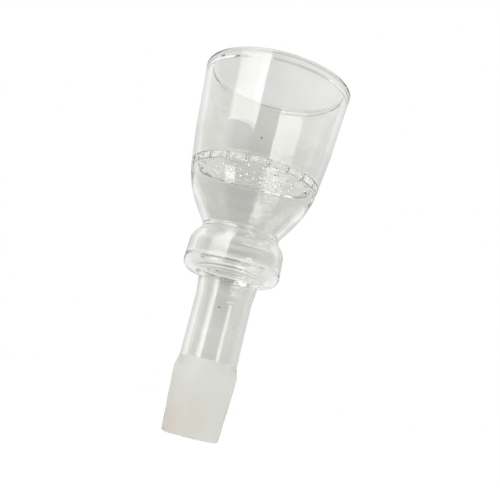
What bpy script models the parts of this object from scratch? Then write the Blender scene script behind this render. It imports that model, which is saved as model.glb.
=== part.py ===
"""Dropping funnel in borosilicate glass: a straight-sided cup over a fused perforated plate, a bowl that
narrows to a neck, a hollow blown grip ring, a stem and a 19/22 standard-taper ground cone.

Metres, +Z up. The origin is the centre of the cone's lower end, and +Z runs up the common axis to the mouth.
Each blank is a solid of its own. Neighbours meet at the fusion seams, FUSION_GAP apart.
"""

import math

import bmesh
import bpy

MM = 0.001

# Seams and facets
FUSION_GAP = 0.3 * MM
TURN_SEGMENTS = 48
FILLET_STEPS = 3
SHARP_ANGLE = math.radians(40.0)

# Ground cone: a 19/22 inner joint, 18.8 mm at its large end, tapering 1 in 10 on the diameter
CONE_HEIGHT = 22.2 * MM
CONE_TAPER_HEIGHT = 19.0 * MM
CONE_LARGE_RADIUS = 9.40 * MM
CONE_TAPER = 0.05
CONE_SHOULDER_RADIUS = 8.66 * MM
CONE_BORE_RADIUS = 6.60 * MM
CONE_LIP_FILLET = 0.6 * MM

# Stem
STEM_RADIUS = 8.60 * MM
STEM_WAIST_RADIUS = 8.45 * MM
STEM_WAIST_HEIGHT = 41.0 * MM
STEM_WALL = 1.70 * MM
STEM_TOP_HEIGHT = 45.2 * MM
STEM_TOP_RADIUS = 8.90 * MM

# Grip ring: hollow, blown out of the tube, with a thick fold under it
RING_RADIUS = 14.75 * MM
RING_UNDERSIDE_HEIGHT = 47.4 * MM
RING_SHOULDER_RADIUS = 14.20 * MM
RING_SHOULDER_HEIGHT = 57.7 * MM
RING_WALL = 2.1 * MM
RING_FOLD = 1.9 * MM

# Neck and bowl
NECK_HEIGHT = 61.3 * MM
NECK_RADIUS = 11.70 * MM
BOWL_WALL = 1.95 * MM
BOWL_TURN_RADIUS = 18.85 * MM
BOWL_TURN_HEIGHT = 72.6 * MM
BOWL_FILLET = 30.0 * MM

# Perforated plate, fused inside the wall across the seam between the bowl and the cup
PLATE_HEIGHT = 79.8 * MM
PLATE_THICKNESS = 1.7 * MM
PLATE_LIP_FILLET = 0.3 * MM
HOLE_RADIUS = 0.55 * MM
HOLE_SIDES = 8
HOLES_PER_RING = (6, 12, 18, 18)
HOLE_RING_STEP = 4.1 * MM

# Cup and its fire-polished rim
CUP_WALL = 1.9 * MM
CUP_BEND_HEIGHT = 90.0 * MM
CUP_BEND_RADIUS = 21.15 * MM
CUP_BEND_FILLET = 60.0 * MM
RIM_HEIGHT = 111.6 * MM
RIM_RADIUS = 23.15 * MM
RIM_THICKNESS = 2.6 * MM
RIM_BEAD_HEIGHT = 2.6 * MM
RIM_BEAD_FLARE = 0.45 * MM
RIM_LIP_FILLET = 0.8 * MM

# Colours: clear glass with the faint green of its edges, and ground glass
CLEAR_GLASS = (0.86, 0.89, 0.87, 1.0)
PLATE_GLASS = (0.82, 0.86, 0.84, 1.0)
GROUND_GLASS = (0.80, 0.80, 0.78, 1.0)


def fillet_path(corners):
    """Points (radius, height) along straight runs through the corners, each (radius, height, fillet)."""
    path = []
    for index, (radius, height, fillet) in enumerate(corners):
        if fillet == 0.0:
            path.append((radius, height))
            continue
        before, after = corners[index - 1], corners[(index + 1) % len(corners)]
        toward_before = math.atan2(before[1] - height, before[0] - radius)
        toward_after = math.atan2(after[1] - height, after[0] - radius)
        turn = (toward_after - toward_before + math.pi) % math.tau - math.pi
        half = abs(turn) / 2.0
        bisector = toward_before + turn / 2.0
        to_centre = fillet / math.sin(half)
        centre = (radius + to_centre * math.cos(bisector), height + to_centre * math.sin(bisector))
        sweep = math.copysign(math.pi / 2.0 - half, turn)
        for step in range(FILLET_STEPS + 1):
            angle = bisector + math.pi + sweep * (1.0 - 2.0 * step / FILLET_STEPS)
            path.append((centre[0] + fillet * math.cos(angle), centre[1] + fillet * math.sin(angle)))
    return path


def glass(name, colour, roughness):
    material = bpy.data.materials.new(name)
    material.use_nodes = True
    shader = material.node_tree.nodes["Principled BSDF"]
    shader.inputs["Base Color"].default_value = colour
    shader.inputs["Roughness"].default_value = roughness
    shader.inputs["Metallic"].default_value = 0.0
    shader.inputs["IOR"].default_value = 1.47
    shader.inputs["Transmission Weight"].default_value = 1.0
    material.diffuse_color = colour
    return material


def turned_blank(name, corners, material):
    """One solid of revolution about Z from a closed outline, as (radius, height, fillet) corners."""
    outline = fillet_path(corners)
    shape = bmesh.new()
    points = [shape.verts.new((radius, 0.0, height)) for radius, height in outline]
    for index, point in enumerate(points):
        shape.edges.new((points[index - 1], point))
    bmesh.ops.spin(
        shape,
        geom=shape.verts[:] + shape.edges[:],
        cent=(0.0, 0.0, 0.0),
        axis=(0.0, 0.0, 1.0),
        angle=math.tau,
        steps=TURN_SEGMENTS,
        use_merge=True,
    )
    bmesh.ops.recalc_face_normals(shape, faces=shape.faces[:])
    if shape.calc_volume(signed=True) < 0.0:
        bmesh.ops.reverse_faces(shape, faces=shape.faces[:])
    mesh = bpy.data.meshes.new(name)
    shape.to_mesh(mesh)
    shape.free()
    mesh.shade_smooth()
    mesh.set_sharp_from_angle(angle=SHARP_ANGLE)
    mesh.materials.append(material)
    blank = bpy.data.objects.new(name, mesh)
    bpy.context.scene.collection.objects.link(blank)
    return blank


def cone_radius(height):
    """Outer radius of the standard taper at a height above its small end."""
    return CONE_LARGE_RADIUS - CONE_TAPER * (CONE_TAPER_HEIGHT - height)


def wall_radius(height):
    """Outer radius of the wall between the bowl's turn and the cup's bend."""
    along = (height - BOWL_TURN_HEIGHT) / (CUP_BEND_HEIGHT - BOWL_TURN_HEIGHT)
    return BOWL_TURN_RADIUS + along * (CUP_BEND_RADIUS - BOWL_TURN_RADIUS)


def make_ground_cone(material):
    top = CONE_HEIGHT - FUSION_GAP / 2.0
    return turned_blank(
        "ground_cone",
        [
            (CONE_BORE_RADIUS, 0.0, CONE_LIP_FILLET / 2.0),
            (cone_radius(0.0), 0.0, CONE_LIP_FILLET),
            (CONE_LARGE_RADIUS, CONE_TAPER_HEIGHT, CONE_LIP_FILLET),
            (CONE_SHOULDER_RADIUS, top, 0.0),
            (STEM_RADIUS - STEM_WALL, top, 0.0),
        ],
        material,
    )


def make_stem(material):
    bottom = CONE_HEIGHT + FUSION_GAP / 2.0
    top = STEM_TOP_HEIGHT - FUSION_GAP / 2.0
    return turned_blank(
        "stem",
        [
            (STEM_RADIUS - STEM_WALL, bottom, 0.0),
            (STEM_RADIUS, bottom, 0.0),
            (STEM_WAIST_RADIUS, STEM_WAIST_HEIGHT, 8.0 * MM),
            (STEM_TOP_RADIUS, top, 0.0),
            (STEM_TOP_RADIUS - STEM_WALL, top, 0.0),
            (STEM_WAIST_RADIUS - STEM_WALL, STEM_WAIST_HEIGHT, 8.0 * MM),
        ],
        material,
    )


def make_grip_ring(material):
    bottom = STEM_TOP_HEIGHT + FUSION_GAP / 2.0
    top = NECK_HEIGHT - FUSION_GAP / 2.0
    bore = STEM_TOP_RADIUS - STEM_WALL
    hollow_floor = RING_UNDERSIDE_HEIGHT + RING_FOLD
    return turned_blank(
        "grip_ring",
        [
            (bore, bottom, 0.0),
            (STEM_TOP_RADIUS, bottom, 0.0),
            (STEM_TOP_RADIUS + 0.1 * MM, RING_UNDERSIDE_HEIGHT - 0.6 * MM, 1.2 * MM),
            (RING_RADIUS, RING_UNDERSIDE_HEIGHT, 3.2 * MM),
            (RING_SHOULDER_RADIUS, RING_SHOULDER_HEIGHT, 5.0 * MM),
            (NECK_RADIUS, top, 0.0),
            (NECK_RADIUS - RING_WALL, top, 0.0),
            (RING_SHOULDER_RADIUS - RING_WALL, RING_SHOULDER_HEIGHT - RING_WALL / 2.0, 4.0 * MM),
            (RING_RADIUS - RING_WALL, hollow_floor, 1.0 * MM),
            (bore, RING_UNDERSIDE_HEIGHT + RING_FOLD / 2.0, 0.6 * MM),
        ],
        material,
    )


def make_bowl(material):
    bottom = NECK_HEIGHT + FUSION_GAP / 2.0
    top = PLATE_HEIGHT - FUSION_GAP / 2.0
    return turned_blank(
        "bowl",
        [
            (NECK_RADIUS - BOWL_WALL, bottom, 0.0),
            (NECK_RADIUS, bottom, 0.0),
            (BOWL_TURN_RADIUS, BOWL_TURN_HEIGHT, BOWL_FILLET),
            (wall_radius(top), top, 0.0),
            (wall_radius(top) - BOWL_WALL, top, 0.0),
            (BOWL_TURN_RADIUS - BOWL_WALL, BOWL_TURN_HEIGHT + BOWL_WALL / 3.0, BOWL_FILLET - BOWL_WALL),
        ],
        material,
    )


def make_hole_cutters():
    """One guide that holds a prism for each hole: a middle one, then ring after ring around it."""
    shape = bmesh.new()
    spots = [(0.0, 0.0)]
    for ring, count in enumerate(HOLES_PER_RING, start=1):
        for index in range(count):
            angle = math.tau * index / count
            spots.append((ring * HOLE_RING_STEP * math.cos(angle), ring * HOLE_RING_STEP * math.sin(angle)))
    for x, y in spots:
        prism = bmesh.ops.create_cone(
            shape,
            cap_ends=True,
            segments=HOLE_SIDES,
            radius1=HOLE_RADIUS,
            radius2=HOLE_RADIUS,
            depth=2.0 * PLATE_THICKNESS,
        )
        bmesh.ops.translate(shape, verts=prism["verts"], vec=(x, y, PLATE_HEIGHT))
    mesh = bpy.data.meshes.new("hole_cutters")
    shape.to_mesh(mesh)
    shape.free()
    cutters = bpy.data.objects.new("hole_cutters", mesh)
    bpy.context.scene.collection.objects.link(cutters)
    cutters.hide_render = True
    cutters.display_type = "WIRE"
    return cutters


def make_perforated_plate(material):
    floor = PLATE_HEIGHT - PLATE_THICKNESS / 2.0
    ceiling = PLATE_HEIGHT + PLATE_THICKNESS / 2.0
    edge = wall_radius(floor) - BOWL_WALL - FUSION_GAP
    lip = [(edge, floor, PLATE_LIP_FILLET), (edge, ceiling, PLATE_LIP_FILLET)]
    outline = fillet_path([(0.0, floor, 0.0), *lip, (0.0, ceiling, 0.0)])[1:-1]
    shape = bmesh.new()
    loops = []
    for radius, height in outline:
        turns = [math.tau * step / TURN_SEGMENTS for step in range(TURN_SEGMENTS)]
        loops.append([shape.verts.new((radius * math.cos(a), radius * math.sin(a), height)) for a in turns])
    for lower, upper in zip(loops, loops[1:]):
        for step in range(TURN_SEGMENTS):
            after = (step + 1) % TURN_SEGMENTS
            shape.faces.new((lower[step], lower[after], upper[after], upper[step]))
    shape.faces.new(reversed(loops[0]))
    shape.faces.new(loops[-1])
    mesh = bpy.data.meshes.new("perforated_plate")
    shape.to_mesh(mesh)
    shape.free()
    mesh.shade_smooth()
    mesh.set_sharp_from_angle(angle=SHARP_ANGLE)
    mesh.materials.append(material)
    plate = bpy.data.objects.new("perforated_plate", mesh)
    bpy.context.scene.collection.objects.link(plate)
    holes = plate.modifiers.new("holes", "BOOLEAN")
    holes.operation = "DIFFERENCE"
    holes.solver = "EXACT"
    holes.object = make_hole_cutters()
    return plate


def make_cup(material):
    bottom = PLATE_HEIGHT + FUSION_GAP / 2.0
    bead_bottom = RIM_HEIGHT - RIM_BEAD_HEIGHT
    wall_under_bead = RIM_RADIUS - RIM_BEAD_FLARE
    return turned_blank(
        "cup",
        [
            (wall_radius(bottom) - CUP_WALL, bottom, 0.0),
            (wall_radius(bottom), bottom, 0.0),
            (CUP_BEND_RADIUS, CUP_BEND_HEIGHT, CUP_BEND_FILLET),
            (wall_under_bead, bead_bottom, 3.0 * MM),
            (RIM_RADIUS, RIM_HEIGHT, RIM_LIP_FILLET),
            (RIM_RADIUS - RIM_THICKNESS, RIM_HEIGHT, RIM_LIP_FILLET),
            (RIM_RADIUS - RIM_THICKNESS, bead_bottom + 0.6 * MM, 0.6 * MM),
            (wall_under_bead - CUP_WALL, bead_bottom - 0.4 * MM, 0.6 * MM),
            (CUP_BEND_RADIUS - CUP_WALL, CUP_BEND_HEIGHT, CUP_BEND_FILLET),
        ],
        material,
    )


def main():
    for obj in list(bpy.data.objects):
        bpy.data.objects.remove(obj, do_unlink=True)
    clear = glass("clear_glass", CLEAR_GLASS, 0.03)
    plate = glass("plate_glass", PLATE_GLASS, 0.06)
    ground = glass("ground_glass", GROUND_GLASS, 0.60)
    make_ground_cone(ground)
    make_stem(clear)
    make_grip_ring(clear)
    make_bowl(clear)
    make_perforated_plate(plate)
    make_cup(clear)


main()
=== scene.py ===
"""Looks of the dropping funnel: clear fused glass, a perforated plate and a ground cone, on a pale floor."""

import math

import bpy
from mathutils import Matrix, Vector, noise
from mathutils.geometry import delaunay_2d_cdt


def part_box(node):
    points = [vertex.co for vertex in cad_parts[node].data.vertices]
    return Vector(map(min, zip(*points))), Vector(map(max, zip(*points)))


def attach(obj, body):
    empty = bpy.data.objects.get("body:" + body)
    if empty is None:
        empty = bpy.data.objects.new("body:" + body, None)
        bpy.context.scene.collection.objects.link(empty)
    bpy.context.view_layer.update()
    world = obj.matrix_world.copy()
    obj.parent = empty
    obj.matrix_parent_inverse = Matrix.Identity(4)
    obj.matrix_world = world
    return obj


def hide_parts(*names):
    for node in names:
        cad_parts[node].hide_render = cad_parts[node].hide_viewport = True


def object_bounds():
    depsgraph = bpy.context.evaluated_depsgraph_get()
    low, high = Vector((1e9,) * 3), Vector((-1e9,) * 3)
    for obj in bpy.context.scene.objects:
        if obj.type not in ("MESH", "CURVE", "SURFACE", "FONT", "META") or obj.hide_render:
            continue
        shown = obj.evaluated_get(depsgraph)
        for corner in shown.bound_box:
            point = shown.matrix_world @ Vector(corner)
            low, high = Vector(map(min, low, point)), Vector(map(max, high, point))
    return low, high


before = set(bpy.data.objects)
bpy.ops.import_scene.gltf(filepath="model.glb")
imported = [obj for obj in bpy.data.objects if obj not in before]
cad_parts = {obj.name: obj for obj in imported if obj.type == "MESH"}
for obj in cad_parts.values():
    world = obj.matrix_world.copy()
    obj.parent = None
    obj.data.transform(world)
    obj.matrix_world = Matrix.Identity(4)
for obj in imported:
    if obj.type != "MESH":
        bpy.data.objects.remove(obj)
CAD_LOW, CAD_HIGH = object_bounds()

MM = 0.001
WHITE = (1.0, 1.0, 1.0, 1.0)

# Fineness of the turned surfaces, and the angle past which an edge stays sharp
TURN_SEGMENTS = 224
ARC_STEP = math.radians(4.0)
RUN_STEP = 0.8 * MM
SHARP_ANGLE = math.radians(50.0)

# Heights of the fusion seams, half way across the gaps that the solids keep
_, CONE_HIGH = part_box("ground_cone")
STEM_LOW, STEM_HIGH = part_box("stem")
RING_LOW, RING_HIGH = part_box("grip_ring")
BOWL_LOW, BOWL_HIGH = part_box("bowl")
PLATE_LOW, PLATE_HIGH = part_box("perforated_plate")
CUP_LOW, CUP_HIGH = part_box("cup")
CONE_SEAM = (CONE_HIGH.z + STEM_LOW.z) / 2.0
STEM_SEAM = (STEM_HIGH.z + RING_LOW.z) / 2.0
NECK_SEAM = (RING_HIGH.z + BOWL_LOW.z) / 2.0
PLATE_SEAM = (BOWL_HIGH.z + CUP_LOW.z) / 2.0
RIM_TOP = CUP_HIGH.z

# Ground cone. A chamfered shoulder leads from the top of its taper to the stem, where the frosting ends.
CONE_TAPER = 0.05
CONE_TAPER_HEIGHT = 19.0 * MM
CONE_ROUNDED_OFF = 0.02 * MM
CONE_LARGE_RADIUS = CONE_HIGH.x + CONE_ROUNDED_OFF
CONE_LARGE_FILLET = 0.5 * MM
CONE_SHOULDER_RADIUS = 8.66 * MM
CONE_SHOULDER_DROP = 0.25 * MM
CONE_SHOULDER_FILLET = 0.2 * MM
CONE_BORE_RADIUS = 6.60 * MM
CONE_LIP = 0.7 * MM

# Stem
STEM_RADIUS = 8.60 * MM
STEM_WAIST_RADIUS = 8.45 * MM
STEM_WAIST_HEIGHT = 41.0 * MM
STEM_WAIST_FILLET = 8.0 * MM
STEM_TOP_RADIUS = STEM_HIGH.x
STEM_WALL = 1.70 * MM

# Grip ring: its outside, from the root at the stem to the shoulder under the neck, then its hollow
RING_RADIUS = 14.75 * MM
RING_ROOT_FLARE = 0.1 * MM
RING_ROOT_DROP = 0.6 * MM
RING_ROOT_FILLET = 1.2 * MM
RING_UNDERSIDE_HEIGHT = 47.4 * MM
RING_UNDERSIDE_FILLET = 3.2 * MM
RING_SHOULDER_RADIUS = 14.20 * MM
RING_SHOULDER_HEIGHT = 57.7 * MM
RING_SHOULDER_FILLET = 5.0 * MM
RING_WALL = 2.1 * MM
HOLLOW_THICKENING = 0.3 * MM
HOLLOW_TOP_FILLET = 4.0 * MM
HOLLOW_FLOOR_HIGH = 51.0 * MM
HOLLOW_FLOOR_FILLET = 3.8 * MM
HOLLOW_FLOOR_LOW = 47.0 * MM
HOLLOW_BORE_FILLET = 2.5 * MM

# Neck and bowl
NECK_RADIUS = 11.70 * MM
NECK_STRAIGHT = 0.55 * MM
NECK_FILLET = 1.6 * MM
BOWL_WALL = 1.95 * MM
BOWL_TURN_RADIUS = 18.85 * MM
BOWL_TURN_HEIGHT = 72.6 * MM
BOWL_FILLET = 30.0 * MM
BOWL_INNER_FILLET = 0.45 * BOWL_FILLET

# Perforated plate, with the weld that joins it to the wall
WELD_RADIUS = 0.45 * MM
WELD_STEPS = 8
HOLE_RADIUS = 0.55 * MM
HOLE_LIP = 0.15 * MM
HOLE_LIP_STEPS = 4
HOLE_SIDES = 20
HOLES_PER_RING = (6, 12, 18, 18)
HOLE_RING_STEP = 4.1 * MM
PLATE_UNEVENNESS = 0.05 * MM
PLATE_UNEVEN_LENGTH = 6.0 * MM
PLATE_EVEN_EDGE = 2.0 * MM
PLATE_SIDES_APART = 10.0 * MM

# The grid of near-equal triangles that fills the plate's faces, clear of its edge and its holes
PLATE_GRID = 0.9 * MM
PLATE_GRID_ROW = 0.87
PLATE_EDGE_MARGIN = 0.6 * PLATE_GRID
HOLE_EDGE_MARGIN = 0.35 * PLATE_GRID
IN_HOLE_SHARE = 0.97

# Cup and rim, whose bead stands out on the outside and steps in on the inside
CUP_WALL = 1.9 * MM
CUP_BEND_HEIGHT = 90.0 * MM
CUP_BEND_RADIUS = 21.15 * MM
CUP_BEND_FILLET = 60.0 * MM
RIM_RADIUS = 23.15 * MM
RIM_THICKNESS = 2.6 * MM
RIM_LIP = 1.1 * MM
BEAD_HEIGHT = 2.6 * MM
BEAD_FLARE = 0.45 * MM
BEAD_FILLET = 3.0 * MM
BEAD_STEP_TOP = 0.6 * MM
BEAD_STEP_BOTTOM = -0.4 * MM
BEAD_STEP_FILLET = 0.6 * MM

# Hand-worked glass: how far the walls wander, and over what length. The cone is true, the bowl least so.
WANDER_AT_HEIGHT = (
    (22.0 * MM, 0.0),
    (30.0 * MM, 0.04 * MM),
    (66.0 * MM, 0.11 * MM),
    (108.0 * MM, 0.06 * MM),
)
WANDER_LENGTH = 13.0 * MM

# How much glass bends light and lets through at each surface, then the colours of dust and ground glass
GLASS_IOR = 1.47
CLEAR_TINT = (0.915, 0.921, 0.888, 1.0)
SMEAR_TINT = (0.955, 0.958, 0.940, 1.0)
PLATE_TINT = (0.905, 0.912, 0.878, 1.0)
DUST = (0.05, 0.05, 0.045, 1.0)
GROUND_TINT = (0.845, 0.851, 0.798, 1.0)
GROUND_WARM_TINT = (0.77, 0.685, 0.625, 1.0)

# How many smears, waves, tool marks, warm patches and grains a metre of the surface has
SMEARS_PER_METRE = 70.0
WAVES_PER_METRE = 260.0
MARKS_PER_METRE = 620.0
CLOUDS_PER_METRE = 130.0
GRAINS_PER_METRE = 2600.0

# Specks of dust and seeds: how many a metre has, and how large they are
GLASS_SPECKS = (105.0, 0.34 * MM)
GROUND_SPECKS = (150.0, 0.30 * MM)

# Ground glass: between which heights its warm cast fades out upwards and across it, then its grain
WARM_HEIGHTS = (2.0 * MM, 17.0 * MM)
WARM_PLACES = (-7.0 * MM, 6.0 * MM)
GRAIN_ROUGHNESS = (0.50, 0.66)
GRAIN_DEPTH = 0.03 * MM

# Where the plain glass, the seams and the ground glass stand in a piece's list of materials
CLEAR, SEAM, GROUND = 0, 1, 2

# Camera
CAMERA_PLACE = Vector((4.0, -243.1, 10.0)) * MM
CAMERA_LOOKS_UP = math.radians(11.0)
CAMERA_ROLL = math.radians(13.96)
CAMERA_LENS_MM = 59.4
CAMERA_SENSOR_MM = 36.0
CAMERA_NEAR = 10.0 * MM

# Tent: how bright it is by azimuth, in degrees from the side that faces the viewer, + to the viewer's right
TENT_HORIZON = (
    (-180.0, 0.72), (-168.0, 0.74), (-150.0, 0.84), (-110.0, 1.00), (-66.0, 1.15), (-48.0, 1.10),
    (16.0, 1.05), (60.0, 1.05), (100.0, 0.90), (150.0, 0.72), (168.0, 0.69), (180.0, 0.72),
)
TENT_LOW = (
    (-180.0, 0.60), (-168.0, 0.64), (-150.0, 0.82), (-110.0, 1.00), (-66.0, 1.15), (-48.0, 1.10),
    (16.0, 1.05), (60.0, 1.05), (100.0, 0.90), (150.0, 0.72), (168.0, 0.64), (180.0, 0.60),
)
TENT_LEVEL = (
    (-180.0, 0.80), (-174.0, 0.72), (-164.0, 0.80), (-150.0, 0.90), (-100.0, 1.12), (-66.0, 1.20),
    (-48.0, 1.15), (16.0, 1.10), (80.0, 1.12), (110.0, 0.95), (150.0, 0.84), (168.0, 0.80), (180.0, 0.80),
)
TENT_ABOVE = (
    (-180.0, 0.62), (-155.0, 0.62), (-130.0, 0.75), (-90.0, 1.00), (-66.0, 0.90),
    (40.0, 0.90), (80.0, 0.90), (130.0, 0.75), (155.0, 0.66), (180.0, 0.62),
)
TENT_ROOF = 0.60

# Dark gap in front that the glass mirrors: what it leaves of the tent's light, level, above and on the floor
GAP_LEVEL = (
    (-180.0, 1.0), (-66.0, 1.0), (-48.0, 0.045), (8.0, 0.045), (45.0, 0.40), (90.0, 1.0), (180.0, 1.0),
)
GAP_ABOVE = (
    (-180.0, 1.0), (-90.0, 1.0), (-66.0, 0.60), (-10.0, 0.22), (40.0, 0.28), (80.0, 1.0), (180.0, 1.0),
)
GAP_FLOOR = ((-180.0, 1.0), (-62.0, 1.0), (-48.0, 0.30), (8.0, 0.30), (20.0, 1.0), (180.0, 1.0))

# The tent's bands from the horizon up, each with its gap, and the elevations over which they change
TENT_BANDS = (
    (TENT_HORIZON, GAP_LEVEL),
    (TENT_LOW, GAP_LEVEL),
    (TENT_LEVEL, GAP_LEVEL),
    (TENT_ABOVE, GAP_ABOVE),
)
TENT_RISES = ((5.0, 9.0), (14.0, 19.0), (30.0, 40.0), (49.0, 76.0))
TENT_STRENGTH = 2.0
TENT_PATCHES = (0.92, 1.08)
TENT_FOLDS = 5.0

# Cards, whose light is patchier than the tent's
CARD_PATCHES = (0.86, 1.08)
CARD_FOLDS = 9.0

# Floor: what the eye sees of it, and what the glass sees under the funnel, where a shadow is painted, and
# away from it
FLOOR_HALF = 1.5
FLOOR_GAP = 0.3 * MM
FLOOR_GREY = (0.86, 0.86, 0.86, 1.0)
FLOOR_GLOW = 0.45
FLOOR_PAINTED_SHADOW = 0.80
FLOOR_AROUND = 0.95
FLOOR_SHADOW_FADE = (50.0 * MM, 320.0 * MM)

# How often light may bounce: it passes wall after wall, and is mirrored between them
LIGHT_BOUNCES = 32
MIRROR_BOUNCES = 12


# ---------------------------------------------------------------- profiles


def rounded_outline(corners):
    """A closed outline as points (radius, height), with the index of the corner each stretch starts from.

    corners are (radius, height, fillet). Arcs get a point every ARC_STEP, straight runs one every RUN_STEP.
    """
    arcs = []
    for index, (radius, height, fillet) in enumerate(corners):
        here = Vector((radius, height))
        if fillet == 0.0:
            arcs.append([here])
            continue
        before = Vector(corners[index - 1][:2]) - here
        after = Vector(corners[(index + 1) % len(corners)][:2]) - here
        toward_before = math.atan2(before.y, before.x)
        turn = (math.atan2(after.y, after.x) - toward_before + math.pi) % math.tau - math.pi
        half = abs(turn) / 2.0
        bisector = toward_before + turn / 2.0
        centre = here + Vector((math.cos(bisector), math.sin(bisector))) * (fillet / math.sin(half))
        sweep = math.copysign(math.pi / 2.0 - half, turn)
        steps = max(2, math.ceil(2.0 * abs(sweep) / ARC_STEP))
        arc = []
        for step in range(steps + 1):
            angle = bisector + math.pi + sweep * (1.0 - 2.0 * step / steps)
            arc.append(centre + Vector((math.cos(angle), math.sin(angle))) * fillet)
        arcs.append(arc)
    points, runs = [], []
    for index, arc in enumerate(arcs):
        points.extend(arc)
        runs.extend([None] * (len(arc) - 1))
        start, end = arc[-1], arcs[(index + 1) % len(arcs)][0]
        pieces = max(1, math.ceil((end - start).length / RUN_STEP))
        runs.append(index)
        for piece in range(1, pieces):
            points.append(start.lerp(end, piece / pieces))
            runs.append(index)
    return points, runs


def cone_radius(height):
    """Outer radius of the standard taper at a height above its small end."""
    return CONE_LARGE_RADIUS - CONE_TAPER * (CONE_TAPER_HEIGHT - height)


def wall_radius(height):
    """Outer radius of the wall between the bowl's turn and the cup's bend."""
    along = (height - BOWL_TURN_HEIGHT) / (CUP_BEND_HEIGHT - BOWL_TURN_HEIGHT)
    return BOWL_TURN_RADIUS + along * (CUP_BEND_RADIUS - BOWL_TURN_RADIUS)


WELD_INNER_RADIUS = wall_radius(PLATE_SEAM) - CUP_WALL
WELD_LOW = PLATE_LOW.z - WELD_RADIUS
WELD_HIGH = PLATE_HIGH.z + WELD_RADIUS


# ---------------------------------------------------------------- meshes


def wander_at(height):
    """How far the wall may wander at a height, between the steps of WANDER_AT_HEIGHT."""
    low_height, low_wander = WANDER_AT_HEIGHT[0]
    if height <= low_height:
        return low_wander
    for high_height, high_wander in WANDER_AT_HEIGHT[1:]:
        if height < high_height:
            share = (height - low_height) / (high_height - low_height)
            return low_wander + share * (high_wander - low_wander)
        low_height, low_wander = high_height, high_wander
    return low_wander


def wandered(point):
    """The point moved a little from or to the axis. Equal points move equally, so seams stay closed."""
    across = Vector((point.x, point.y, 0.0))
    if across.length < 1e-6:
        return point
    drift = noise.noise(point / WANDER_LENGTH)
    return point + across.normalized() * (wander_at(point.z) * drift)


def add_object(name, mesh):
    thing = bpy.data.objects.new(name, mesh)
    bpy.context.scene.collection.objects.link(thing)
    return thing


def add_piece(name, points, faces, finishes, materials, replaced):
    """A piece of the funnel. finishes gives each face's place in the list of materials."""
    mesh = bpy.data.meshes.new(name)
    mesh.from_pydata(points, [], faces)
    for material in materials:
        mesh.materials.append(material)
    mesh.polygons.foreach_set("material_index", finishes)
    mesh.shade_smooth()
    mesh.set_sharp_from_angle(angle=SHARP_ANGLE)
    mesh.update()
    piece = add_object(name, mesh)
    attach(piece, "root")
    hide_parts(replaced)
    return piece


def turned_piece(name, corners, finish_of_run, materials, replaced, plain=CLEAR):
    """A closed body turned about Z. finish_of_run gives the finish of the runs that aren't plain."""
    outline, runs = rounded_outline(corners)
    count = len(outline)
    anticlockwise = sum(a.x * b.y - b.x * a.y for a, b in zip(outline, outline[1:] + outline[:1])) > 0.0
    points = []
    for step in range(TURN_SEGMENTS):
        angle = math.tau * step / TURN_SEGMENTS
        for radius, height in outline:
            spot = Vector((radius * math.cos(angle), radius * math.sin(angle), height))
            points.append(wandered(spot))
    faces, finishes = [], []
    for step in range(TURN_SEGMENTS):
        here, there = step * count, (step + 1) % TURN_SEGMENTS * count
        for index in range(count):
            after = (index + 1) % count
            quad = (here + index, there + index, there + after, here + after)
            faces.append(quad if anticlockwise else quad[::-1])
            finishes.append(finish_of_run.get(runs[index], plain))
    return add_piece(name, points, faces, finishes, materials, replaced)


# ---------------------------------------------------------------- nodes


def feed(tree, socket, value):
    """Gives a socket a number, a colour or another node's output."""
    if isinstance(value, (float, tuple)):
        socket.default_value = value
    else:
        tree.links.new(value, socket)


def new_material(name):
    material = bpy.data.materials.new(name)
    material.use_nodes = True
    tree = material.node_tree
    return material, tree, tree.nodes["Principled BSDF"]


def bare_material(name):
    """A material with nothing but its output, whose surface socket comes with it."""
    material = bpy.data.materials.new(name)
    material.use_nodes = True
    tree = material.node_tree
    tree.nodes.clear()
    return material, tree, tree.nodes.new("ShaderNodeOutputMaterial").inputs["Surface"]


def piece_space(tree):
    """Places in the piece's own space."""
    return tree.nodes.new("ShaderNodeTexCoord").outputs["Object"]


def split_axes(tree, place):
    """The X, Y and Z of a place or direction."""
    node = tree.nodes.new("ShaderNodeSeparateXYZ")
    tree.links.new(place, node.inputs["Vector"])
    return node.outputs


def noise_at(tree, place, scale, detail):
    """Procedural noise. scale is in features per metre, or per unit of a direction."""
    texture = tree.nodes.new("ShaderNodeTexNoise")
    texture.inputs["Scale"].default_value = scale
    texture.inputs["Detail"].default_value = detail
    tree.links.new(place, texture.inputs["Vector"])
    return texture.outputs["Fac"]


def piece_noise(tree, scale, detail, stretch=(1.0, 1.0, 1.0)):
    """Noise in the piece's own space, finer along an axis whose stretch is over 1 and longer under 1."""
    mapping = tree.nodes.new("ShaderNodeMapping")
    mapping.inputs["Scale"].default_value = stretch
    tree.links.new(piece_space(tree), mapping.inputs["Vector"])
    return noise_at(tree, mapping.outputs["Vector"], scale, detail)


def remapped(tree, value, low, high, to_low, to_high):
    node = tree.nodes.new("ShaderNodeMapRange")
    node.inputs["From Min"].default_value = low
    node.inputs["From Max"].default_value = high
    node.inputs["To Min"].default_value = to_low
    node.inputs["To Max"].default_value = to_high
    tree.links.new(value, node.inputs["Value"])
    return node.outputs["Result"]


def worked_out(tree, operation, first, second):
    """Two values put together by an operation such as MULTIPLY or MAXIMUM."""
    node = tree.nodes.new("ShaderNodeMath")
    node.operation = operation
    feed(tree, node.inputs[0], first)
    feed(tree, node.inputs[1], second)
    return node.outputs["Value"]


def mixed(tree, factor, first, second, blend="MIX"):
    """Two colours mixed by a factor, or put together by another blend."""
    node = tree.nodes.new("ShaderNodeMixRGB")
    node.blend_type = blend
    feed(tree, node.inputs["Fac"], factor)
    feed(tree, node.inputs["Color1"], first)
    feed(tree, node.inputs["Color2"], second)
    return node.outputs["Color"]


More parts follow.
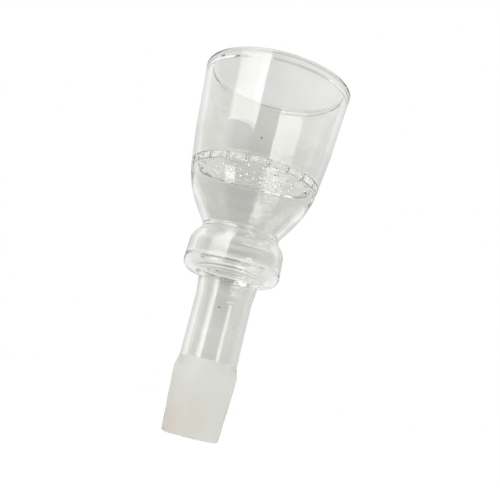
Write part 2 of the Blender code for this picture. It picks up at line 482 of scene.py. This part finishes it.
def bumped(tree, shader, height, distance, strength):
    """Roughens the shader's surface by a height, and gives the bump's node."""
    bump = tree.nodes.new("ShaderNodeBump")
    bump.inputs["Strength"].default_value = strength
    bump.inputs["Distance"].default_value = distance
    tree.links.new(height, bump.inputs["Height"])
    tree.links.new(bump.outputs["Normal"], shader.inputs["Normal"])
    return bump


# ---------------------------------------------------------------- materials


def specks(tree, per_metre, size):
    """1 inside rare small specks, such as dust and seeds, fading to 0 at their edge."""
    cells = tree.nodes.new("ShaderNodeTexVoronoi")
    cells.inputs["Scale"].default_value = per_metre
    tree.links.new(piece_space(tree), cells.inputs["Vector"])
    return remapped(tree, cells.outputs["Distance"], size * per_metre, 0.6 * size * per_metre, 0.0, 1.0)


def glass(name, tint, waves, draw, marks):
    """Clear glass with thin smears and dust.

    waves and marks are the depths of its waves and tool marks. draw is how far the waves are drawn out.
    """
    material, tree, shader = new_material(name)
    shader.inputs["IOR"].default_value = GLASS_IOR
    shader.inputs["Transmission Weight"].default_value = 1.0
    shader.inputs["Roughness"].default_value = 0.0
    smears = remapped(tree, piece_noise(tree, SMEARS_PER_METRE, 4.0, (1.0, 1.0, 2.6)), 0.45, 0.68, 0.0, 1.0)
    film = mixed(tree, smears, tint, SMEAR_TINT)
    tree.links.new(mixed(tree, specks(tree, *GLASS_SPECKS), film, DUST), shader.inputs["Base Color"])
    drawn = piece_noise(tree, WAVES_PER_METRE, 2.0, (1.0, 1.0, 1.0 / draw))
    tooled = piece_noise(tree, MARKS_PER_METRE, 2.0, (0.10, 0.10, 1.0))
    waved = bumped(tree, shader, drawn, waves, 0.5)
    marked = bumped(tree, shader, tooled, marks, 0.5)
    tree.links.new(waved.outputs["Normal"], marked.inputs["Normal"])
    return material


def clear_glass():
    """Clear drawn borosilicate: faint lines along the tube."""
    return glass("clear_glass", CLEAR_TINT, 0.045 * MM, 8.0, 0.018 * MM)


def worked_glass():
    """The same glass where it was blown and tooled: dimples, and fine ridges round it."""
    return glass("worked_glass", CLEAR_TINT, 0.110 * MM, 2.0, 0.045 * MM)


def plate_glass():
    """Pressed glass, less even than the walls."""
    return glass("plate_glass", PLATE_TINT, 0.060 * MM, 1.0, 0.006 * MM)


def ground_glass():
    """Fine ground glass: matte, a greenish grey, with a warm cast on one side of its lower end."""
    material, tree, shader = new_material("ground_glass")
    shader.inputs["IOR"].default_value = GLASS_IOR
    shader.inputs["Transmission Weight"].default_value = 0.55
    axes = split_axes(tree, piece_space(tree))
    low = remapped(tree, axes["Z"], *WARM_HEIGHTS, 1.0, 0.0)
    side = remapped(tree, axes["X"], *WARM_PLACES, 1.0, 0.0)
    clouds = remapped(tree, piece_noise(tree, CLOUDS_PER_METRE, 3.0), 0.3, 0.7, 0.4, 1.0)
    warmth = worked_out(tree, "MULTIPLY", worked_out(tree, "MULTIPLY", low, side), clouds)
    body = mixed(tree, warmth, GROUND_TINT, GROUND_WARM_TINT)
    tree.links.new(mixed(tree, specks(tree, *GROUND_SPECKS), body, DUST), shader.inputs["Base Color"])
    grain = piece_noise(tree, GRAINS_PER_METRE, 3.0)
    tree.links.new(remapped(tree, grain, 0.3, 0.7, *GRAIN_ROUGHNESS), shader.inputs["Roughness"])
    bumped(tree, shader, grain, GRAIN_DEPTH, 0.6)
    return material


def fused_seam():
    """Where two blanks are one glass: nothing shows."""
    material, tree, surface = bare_material("fused_seam")
    tree.links.new(tree.nodes.new("ShaderNodeBsdfTransparent").outputs["BSDF"], surface)
    return material


# ---------------------------------------------------------------- the blanks


def make_ground_cone(materials):
    corners = [
        (CONE_BORE_RADIUS, 0.0, CONE_LIP / 2.0),
        (cone_radius(0.0), 0.0, CONE_LIP),
        (CONE_LARGE_RADIUS, CONE_TAPER_HEIGHT, CONE_LARGE_FILLET),
        (CONE_SHOULDER_RADIUS, CONE_SEAM - CONE_SHOULDER_DROP, CONE_SHOULDER_FILLET),
        (STEM_RADIUS, CONE_SEAM, 0.0),
        (STEM_RADIUS - STEM_WALL, CONE_SEAM, 0.0),
    ]
    finishes = {4: SEAM, 5: CLEAR}
    piece = turned_piece("ground_cone_visual", corners, finishes, materials, "ground_cone", plain=GROUND)


def make_stem(materials):
    corners = [
        (STEM_RADIUS - STEM_WALL, CONE_SEAM, 0.0),
        (STEM_RADIUS, CONE_SEAM, 0.0),
        (STEM_WAIST_RADIUS, STEM_WAIST_HEIGHT, STEM_WAIST_FILLET),
        (STEM_TOP_RADIUS, STEM_SEAM, 0.0),
        (STEM_TOP_RADIUS - STEM_WALL, STEM_SEAM, 0.0),
        (STEM_WAIST_RADIUS - STEM_WALL, STEM_WAIST_HEIGHT, STEM_WAIST_FILLET),
    ]
    piece = turned_piece("stem_visual", corners, {0: SEAM, 3: SEAM}, materials, "stem")


def make_grip_ring(materials):
    """Hollow ring. Its floor slopes to the bore, so the glass is thickest round its lower edge."""
    bore = STEM_TOP_RADIUS - STEM_WALL
    floor_edge = RING_RADIUS - RING_WALL - HOLLOW_THICKENING
    corners = [
        (bore, STEM_SEAM, 0.0),
        (STEM_TOP_RADIUS, STEM_SEAM, 0.0),
        (STEM_TOP_RADIUS + RING_ROOT_FLARE, RING_UNDERSIDE_HEIGHT - RING_ROOT_DROP, RING_ROOT_FILLET),
        (RING_RADIUS, RING_UNDERSIDE_HEIGHT, RING_UNDERSIDE_FILLET),
        (RING_SHOULDER_RADIUS, RING_SHOULDER_HEIGHT, RING_SHOULDER_FILLET),
        (NECK_RADIUS, NECK_SEAM - NECK_STRAIGHT, NECK_FILLET),
        (NECK_RADIUS, NECK_SEAM, 0.0),
        (NECK_RADIUS - BOWL_WALL, NECK_SEAM, 0.0),
        (NECK_RADIUS - BOWL_WALL, NECK_SEAM - NECK_STRAIGHT, NECK_FILLET),
        (RING_SHOULDER_RADIUS - RING_WALL, RING_SHOULDER_HEIGHT - RING_WALL / 2.0, HOLLOW_TOP_FILLET),
        (floor_edge, HOLLOW_FLOOR_HIGH, HOLLOW_FLOOR_FILLET),
        (bore, HOLLOW_FLOOR_LOW, HOLLOW_BORE_FILLET),
    ]
    piece = turned_piece("grip_ring_visual", corners, {0: SEAM, 6: SEAM}, materials, "grip_ring")


def make_bowl(materials):
    corners = [
        (NECK_RADIUS - BOWL_WALL, NECK_SEAM, 0.0),
        (NECK_RADIUS, NECK_SEAM, 0.0),
        (NECK_RADIUS, NECK_SEAM + NECK_STRAIGHT, NECK_FILLET),
        (BOWL_TURN_RADIUS, BOWL_TURN_HEIGHT, BOWL_FILLET),
        (wall_radius(PLATE_SEAM), PLATE_SEAM, 0.0),
        (WELD_INNER_RADIUS, PLATE_SEAM, 0.0),
        (WELD_INNER_RADIUS, WELD_LOW, 0.0),
        (BOWL_TURN_RADIUS - BOWL_WALL, BOWL_TURN_HEIGHT + BOWL_WALL / 3.0, BOWL_INNER_FILLET),
        (NECK_RADIUS - BOWL_WALL, NECK_SEAM + NECK_STRAIGHT, NECK_FILLET),
    ]
    piece = turned_piece("bowl_visual", corners, {0: SEAM, 4: SEAM, 5: SEAM}, materials, "bowl")


def make_cup(materials):
    bead_bottom = RIM_TOP - BEAD_HEIGHT
    under_bead = RIM_RADIUS - BEAD_FLARE
    corners = [
        (WELD_INNER_RADIUS, PLATE_SEAM, 0.0),
        (wall_radius(PLATE_SEAM), PLATE_SEAM, 0.0),
        (CUP_BEND_RADIUS, CUP_BEND_HEIGHT, CUP_BEND_FILLET),
        (under_bead, bead_bottom, BEAD_FILLET),
        (RIM_RADIUS, RIM_TOP, RIM_LIP),
        (RIM_RADIUS - RIM_THICKNESS, RIM_TOP, RIM_LIP),
        (RIM_RADIUS - RIM_THICKNESS, bead_bottom + BEAD_STEP_TOP, BEAD_STEP_FILLET),
        (under_bead - CUP_WALL, bead_bottom + BEAD_STEP_BOTTOM, BEAD_STEP_FILLET),
        (CUP_BEND_RADIUS - CUP_WALL, CUP_BEND_HEIGHT, CUP_BEND_FILLET / 2.0),
        (WELD_INNER_RADIUS, WELD_HIGH, 0.0),
    ]
    piece = turned_piece("cup_visual", corners, {0: SEAM, 9: SEAM}, materials, "cup")


# ---------------------------------------------------------------- the plate


def hole_places():
    """Centres of the plate's holes: a middle one, then ring after ring around it."""
    places = [Vector((0.0, 0.0))]
    for ring, count in enumerate(HOLES_PER_RING, start=1):
        for index in range(count):
            angle = math.tau * index / count
            places.append(Vector((math.cos(angle), math.sin(angle))) * (ring * HOLE_RING_STEP))
    return places


def ring_points(centre, radius, sides):
    turns = [math.tau * side / sides for side in range(sides)]
    return [Vector((centre.x + radius * math.cos(a), centre.y + radius * math.sin(a))) for a in turns]


def plate_face(flat_radius, holes):
    """One face of the plate in 2-D, open at its holes: its points and its triangles.

    The points of the edge come first, then those of each hole.
    """
    lip_radius = HOLE_RADIUS + HOLE_LIP
    points = ring_points(Vector((0.0, 0.0)), flat_radius, TURN_SEGMENTS)
    edges = [(side, (side + 1) % TURN_SEGMENTS) for side in range(TURN_SEGMENTS)]
    for hole in holes:
        first = len(points)
        points.extend(ring_points(hole, lip_radius, HOLE_SIDES))
        edges.extend((first + side, first + (side + 1) % HOLE_SIDES) for side in range(HOLE_SIDES))
    rows = int(flat_radius / PLATE_GRID)
    for row in range(-rows, rows + 1):
        for column in range(-rows, rows + 1):
            spot = Vector((column + 0.5 * (row % 2), row * PLATE_GRID_ROW)) * PLATE_GRID
            inside = spot.length < flat_radius - PLATE_EDGE_MARGIN
            if inside and all((spot - hole).length > lip_radius + HOLE_EDGE_MARGIN for hole in holes):
                points.append(spot)
    placed, _, triangles, _, _, _ = delaunay_2d_cdt(points, edges, [], 0, 1e-9)
    kept = []
    for triangle in triangles:
        middle = sum((placed[corner] for corner in triangle), Vector((0.0, 0.0))) / 3.0
        if all((middle - hole).length > lip_radius * IN_HOLE_SHARE for hole in holes):
            kept.append(tuple(triangle))
    return placed, kept


def bridge(faces, lower, upper):
    """Quads between two rings of point numbers, each running anticlockwise, that face away from the axis."""
    for side in range(len(lower)):
        after = (side + 1) % len(lower)
        faces.append((lower[side], lower[after], upper[after], upper[side]))


def uneven(spot, side, flat_radius):
    """How far a spot on one side of the plate is off its level. The edge is even, and the sides differ."""
    drift = noise.noise(Vector((spot.x, spot.y, side * PLATE_SIDES_APART)) / PLATE_UNEVEN_LENGTH)
    fade = min(1.0, max(0.0, (flat_radius - spot.length) / PLATE_EVEN_EDGE))
    return PLATE_UNEVENNESS * drift * fade


def make_plate(materials):
    """The perforated plate, whose rim flares into a weld as high as the band it shares with the wall."""
    holes = hole_places()
    flat_radius = WELD_INNER_RADIUS - WELD_RADIUS
    placed, triangles = plate_face(flat_radius, holes)
    points, faces = [], []

    def add(x, y, z):
        points.append(Vector((x, y, z)))
        return len(points) - 1

    top = [add(p.x, p.y, PLATE_HIGH.z + uneven(p, 1.0, flat_radius)) for p in placed]
    low = [add(p.x, p.y, PLATE_LOW.z + uneven(p, -1.0, flat_radius)) for p in placed]
    for a, b, c in triangles:
        faces.append((top[a], top[b], top[c]))
        faces.append((low[c], low[b], low[a]))

    rim = [low[:TURN_SEGMENTS]]
    for level, sign in ((PLATE_LOW.z, -1.0), (PLATE_HIGH.z, 1.0)):
        loops = []
        for step in range(1, WELD_STEPS + 1):
            angle = math.pi / 2.0 * step / WELD_STEPS
            radius = flat_radius + WELD_RADIUS * math.sin(angle)
            height = level + sign * WELD_RADIUS * (1.0 - math.cos(angle))
            ring = ring_points(Vector((0.0, 0.0)), radius, TURN_SEGMENTS)
            loops.append([add(p.x, p.y, height) for p in ring])
        rim.extend(loops if sign < 0.0 else loops[::-1])
    rim.append(top[:TURN_SEGMENTS])
    for lower, upper in zip(rim, rim[1:]):
        bridge(faces, lower, upper)
    seam_first = len(faces) - (WELD_STEPS + 1) * TURN_SEGMENTS

    for number, hole in enumerate(holes):
        first = TURN_SEGMENTS + number * HOLE_SIDES
        loops = [top[first : first + HOLE_SIDES]]
        for level, sign in ((PLATE_HIGH.z, 1.0), (PLATE_LOW.z, -1.0)):
            lips = []
            for step in range(1, HOLE_LIP_STEPS + 1):
                angle = math.pi / 2.0 * step / HOLE_LIP_STEPS
                radius = HOLE_RADIUS + HOLE_LIP * (1.0 - math.sin(angle))
                height = level - sign * HOLE_LIP * (1.0 - math.cos(angle))
                lips.append([add(p.x, p.y, height) for p in ring_points(hole, radius, HOLE_SIDES)])
            loops.extend(lips if sign > 0.0 else lips[::-1])
        loops.append(low[first : first + HOLE_SIDES])
        for upper, lower in zip(loops, loops[1:]):
            bridge(faces, upper, lower)

    finishes = [CLEAR] * len(faces)
    finishes[seam_first : seam_first + TURN_SEGMENTS] = [SEAM] * TURN_SEGMENTS
    points = [wandered(p) if Vector((p.x, p.y)).length > flat_radius else p for p in points]
    piece = add_piece("perforated_plate_visual", points, faces, finishes, materials, "perforated_plate")


# ---------------------------------------------------------------- studio


def make_camera():
    camera = add_object("camera", bpy.data.cameras.new("camera"))
    camera.data.lens = CAMERA_LENS_MM
    camera.data.sensor_width = CAMERA_SENSOR_MM
    camera.data.clip_start = CAMERA_NEAR
    forward = Vector((0.0, math.cos(CAMERA_LOOKS_UP), math.sin(CAMERA_LOOKS_UP)))
    level_up = Vector((0.0, -math.sin(CAMERA_LOOKS_UP), math.cos(CAMERA_LOOKS_UP)))
    level_right = Vector((1.0, 0.0, 0.0))
    up = level_up * math.cos(CAMERA_ROLL) - level_right * math.sin(CAMERA_ROLL)
    right = level_right * math.cos(CAMERA_ROLL) + level_up * math.sin(CAMERA_ROLL)
    turn = Matrix((right, up, -forward)).transposed().to_4x4()
    camera.matrix_world = Matrix.Translation(CAMERA_PLACE) @ turn
    bpy.context.scene.camera = camera


def toward(azimuth, elevation):
    """Unit direction from the funnel. Azimuth 0 is towards the viewer, + to the viewer's right."""
    a, e = math.radians(azimuth), math.radians(elevation)
    return Vector((math.sin(a) * math.cos(e), -math.cos(a) * math.cos(e), math.sin(e)))


def add_card(name, azimuths, elevations, distance, brightness, left_edge=1.0, slant=0.0, height=PLATE_SEAM):
    """A glowing or dark card round the funnel, seen only by the glass.

    azimuths and elevations are where its sides are, in degrees from a height on the axis. left_edge dims the
    left side, and slant lowers the right end of the lower one.
    """
    left, right = azimuths
    low, high = elevations
    middle = Vector((0.0, 0.0, height))
    spots = ((left, low), (right, low - slant), (right, high), (left, high))
    mesh = bpy.data.meshes.new(name)
    mesh.from_pydata([middle + toward(*spot) * distance for spot in spots], [], [(0, 1, 2, 3)])
    glow = mesh.color_attributes.new("glow", "FLOAT_COLOR", "POINT")
    for corner, share in enumerate((left_edge, 1.0, 1.0, left_edge)):
        glow.data[corner].color = (share, share, share, 1.0)
    material, tree, surface = bare_material(name)
    shares = tree.nodes.new("ShaderNodeAttribute")
    shares.attribute_name = "glow"
    light = tree.nodes.new("ShaderNodeEmission")
    dim, bright = (share * brightness for share in CARD_PATCHES)
    patches = remapped(tree, piece_noise(tree, CARD_FOLDS, 4.0), 0.35, 0.65, dim, bright)
    tree.links.new(patches, light.inputs["Strength"])
    tree.links.new(shares.outputs["Color"], light.inputs["Color"])
    tree.links.new(light.outputs["Emission"], surface)
    mesh.materials.append(material)
    card = add_object(name, mesh)
    card.visible_camera = False
    card.visible_shadow = False
    card.visible_diffuse = False


def azimuth_of(tree, axes):
    """The azimuth, in radians, of a direction or place given by its axes."""
    toward_viewer = worked_out(tree, "MULTIPLY", axes["Y"], -1.0)
    return worked_out(tree, "ARCTAN2", axes["X"], toward_viewer)


def smooth_ramp(tree, angle, stops, scale=1.0):
    """A level, as a share of scale, for an angle. stops are (degrees, level), and it eases between them."""
    turn = remapped(tree, angle, -math.pi, math.pi, 0.0, 1.0)
    node = tree.nodes.new("ShaderNodeValToRGB")
    node.color_ramp.interpolation = "EASE"
    while len(node.color_ramp.elements) < len(stops):
        node.color_ramp.elements.new(0.5)
    for element, (degrees, level) in zip(node.color_ramp.elements, stops):
        element.position = (degrees + 180.0) / 360.0
        element.color = (level / scale,) * 3 + (1.0,)
    tree.links.new(turn, node.inputs["Fac"])
    return node.outputs["Color"]


def gap_share(tree, azimuth, stops):
    """What the gap leaves of the tent's light: all of it, save in mirrored light that comes from the gap."""
    path = tree.nodes.new("ShaderNodeLightPath")
    mirrored = worked_out(tree, "MINIMUM", path.outputs["Glossy Depth"], 1.0)
    return mixed(tree, mirrored, WHITE, smooth_ramp(tree, azimuth, stops))


def shade_by_viewer(tree, by_glass, by_eye, surface):
    """Feeds a surface one shader for what the glass sees, and one for the eye and for matt things."""
    path = tree.nodes.new("ShaderNodeLightPath")
    mix = tree.nodes.new("ShaderNodeMixShader")
    direct = worked_out(tree, "MAXIMUM", path.outputs["Is Camera Ray"], path.outputs["Is Diffuse Ray"])
    tree.links.new(direct, mix.inputs["Fac"])
    tree.links.new(by_glass, mix.inputs[1])
    tree.links.new(by_eye, mix.inputs[2])
    tree.links.new(mix.outputs["Shader"], surface)


def make_world():
    """White to the eye. The glass sees a pale tent, dimmer behind and overhead, with a dark gap in front."""
    world = bpy.data.worlds.new("tent")
    bpy.context.scene.world = world
    world.use_nodes = True
    tree = world.node_tree
    tree.nodes.clear()
    direction = tree.nodes.new("ShaderNodeTexCoord").outputs["Generated"]
    axes = split_axes(tree, direction)
    turn = azimuth_of(tree, axes)
    bands = []
    for levels, gap in TENT_BANDS:
        light = smooth_ramp(tree, turn, levels, TENT_STRENGTH)
        bands.append(mixed(tree, 1.0, light, gap_share(tree, turn, gap), "MULTIPLY"))
    bands.append((TENT_ROOF / TENT_STRENGTH,) * 3 + (1.0,))
    tent = bands[0]
    for band, rise in zip(bands[1:], TENT_RISES):
        start, end = (math.sin(math.radians(degrees)) for degrees in rise)
        tent = mixed(tree, remapped(tree, axes["Z"], start, end, 0.0, 1.0), tent, band)
    dim, bright = (TENT_STRENGTH * share for share in TENT_PATCHES)
    patches = remapped(tree, noise_at(tree, direction, TENT_FOLDS, 5.0), 0.36, 0.64, dim, bright)
    seen_by_glass = tree.nodes.new("ShaderNodeBackground")
    tree.links.new(patches, seen_by_glass.inputs["Strength"])
    tree.links.new(tent, seen_by_glass.inputs["Color"])
    white = tree.nodes.new("ShaderNodeBackground")
    white.inputs["Color"].default_value = WHITE
    surface = tree.nodes.new("ShaderNodeOutputWorld").inputs["Surface"]
    shade_by_viewer(tree, seen_by_glass.outputs["Background"], white.outputs["Background"], surface)


def make_floor():
    """A plain pale floor just under the cone's end. The glass sees it dimmer, with a painted shadow under
    the funnel, and darkest in the gap.
    """
    level = CAD_LOW.z - FLOOR_GAP
    mesh = bpy.data.meshes.new("floor")
    sides = ((-1.0, -1.0), (1.0, -1.0), (1.0, 1.0), (-1.0, 1.0))
    mesh.from_pydata([(x * FLOOR_HALF, y * FLOOR_HALF, level) for x, y in sides], [], [(0, 1, 2, 3)])
    material, tree, shader = new_material("pale_floor")
    shader.inputs["Base Color"].default_value = FLOOR_GREY
    shader.inputs["Roughness"].default_value = 0.9
    shader.inputs["Specular IOR Level"].default_value = 0.0
    shader.inputs["Emission Color"].default_value = WHITE
    shader.inputs["Emission Strength"].default_value = FLOOR_GLOW
    place = piece_space(tree)
    distance = tree.nodes.new("ShaderNodeVectorMath")
    distance.operation = "LENGTH"
    tree.links.new(place, distance.inputs[0])
    # Painted shadow: the glass sees the floor darker under the funnel, fading out away from it
    fade = remapped(tree, distance.outputs["Value"], *FLOOR_SHADOW_FADE, FLOOR_PAINTED_SHADOW, FLOOR_AROUND)
    gap = gap_share(tree, azimuth_of(tree, split_axes(tree, place)), GAP_FLOOR)
    dim = tree.nodes.new("ShaderNodeEmission")
    tree.links.new(worked_out(tree, "MULTIPLY", fade, gap), dim.inputs["Strength"])
    surface = tree.nodes["Material Output"].inputs["Surface"]
    shade_by_viewer(tree, dim.outputs["Emission"], shader.outputs["BSDF"], surface)
    mesh.materials.append(material)
    add_object("floor", mesh)


def set_view():
    """Plain colours, and the bounces of light."""
    scene = bpy.context.scene
    scene.view_settings.view_transform = "Standard"
    scene.view_settings.look = "None"
    scene.cycles.max_bounces = LIGHT_BOUNCES
    scene.cycles.transmission_bounces = LIGHT_BOUNCES
    scene.cycles.glossy_bounces = MIRROR_BOUNCES
    scene.cycles.transparent_max_bounces = LIGHT_BOUNCES


clear, worked, ground, seam = clear_glass(), worked_glass(), ground_glass(), fused_seam()
drawn_walls = [clear, seam, ground]
worked_walls = [worked, seam]
make_ground_cone(drawn_walls)
make_stem(drawn_walls)
make_grip_ring(worked_walls)
make_bowl(worked_walls)
make_cup(drawn_walls)
make_plate([plate_glass(), seam])

make_camera()
make_world()
make_floor()

# Two lights on the left, then two dark cards: one over the front, and one behind on the left
add_card("softbox_left", (-65.0, -18.0), (9.5, 70.0), 0.7, 4.9, left_edge=0.75, slant=4.0)
add_card("strip_left", (-53.0, -33.0), (-14.0, 5.5), 0.130, 5.0, height=45.0 * MM)
add_card("gap_above", (-60.0, 60.0), (70.0, 88.0), 0.8, 0.15)
add_card("gap_behind_left", (-161.0, -149.0), (28.0, 42.0), 1.2, 0.01, height=RIM_TOP)
set_view()
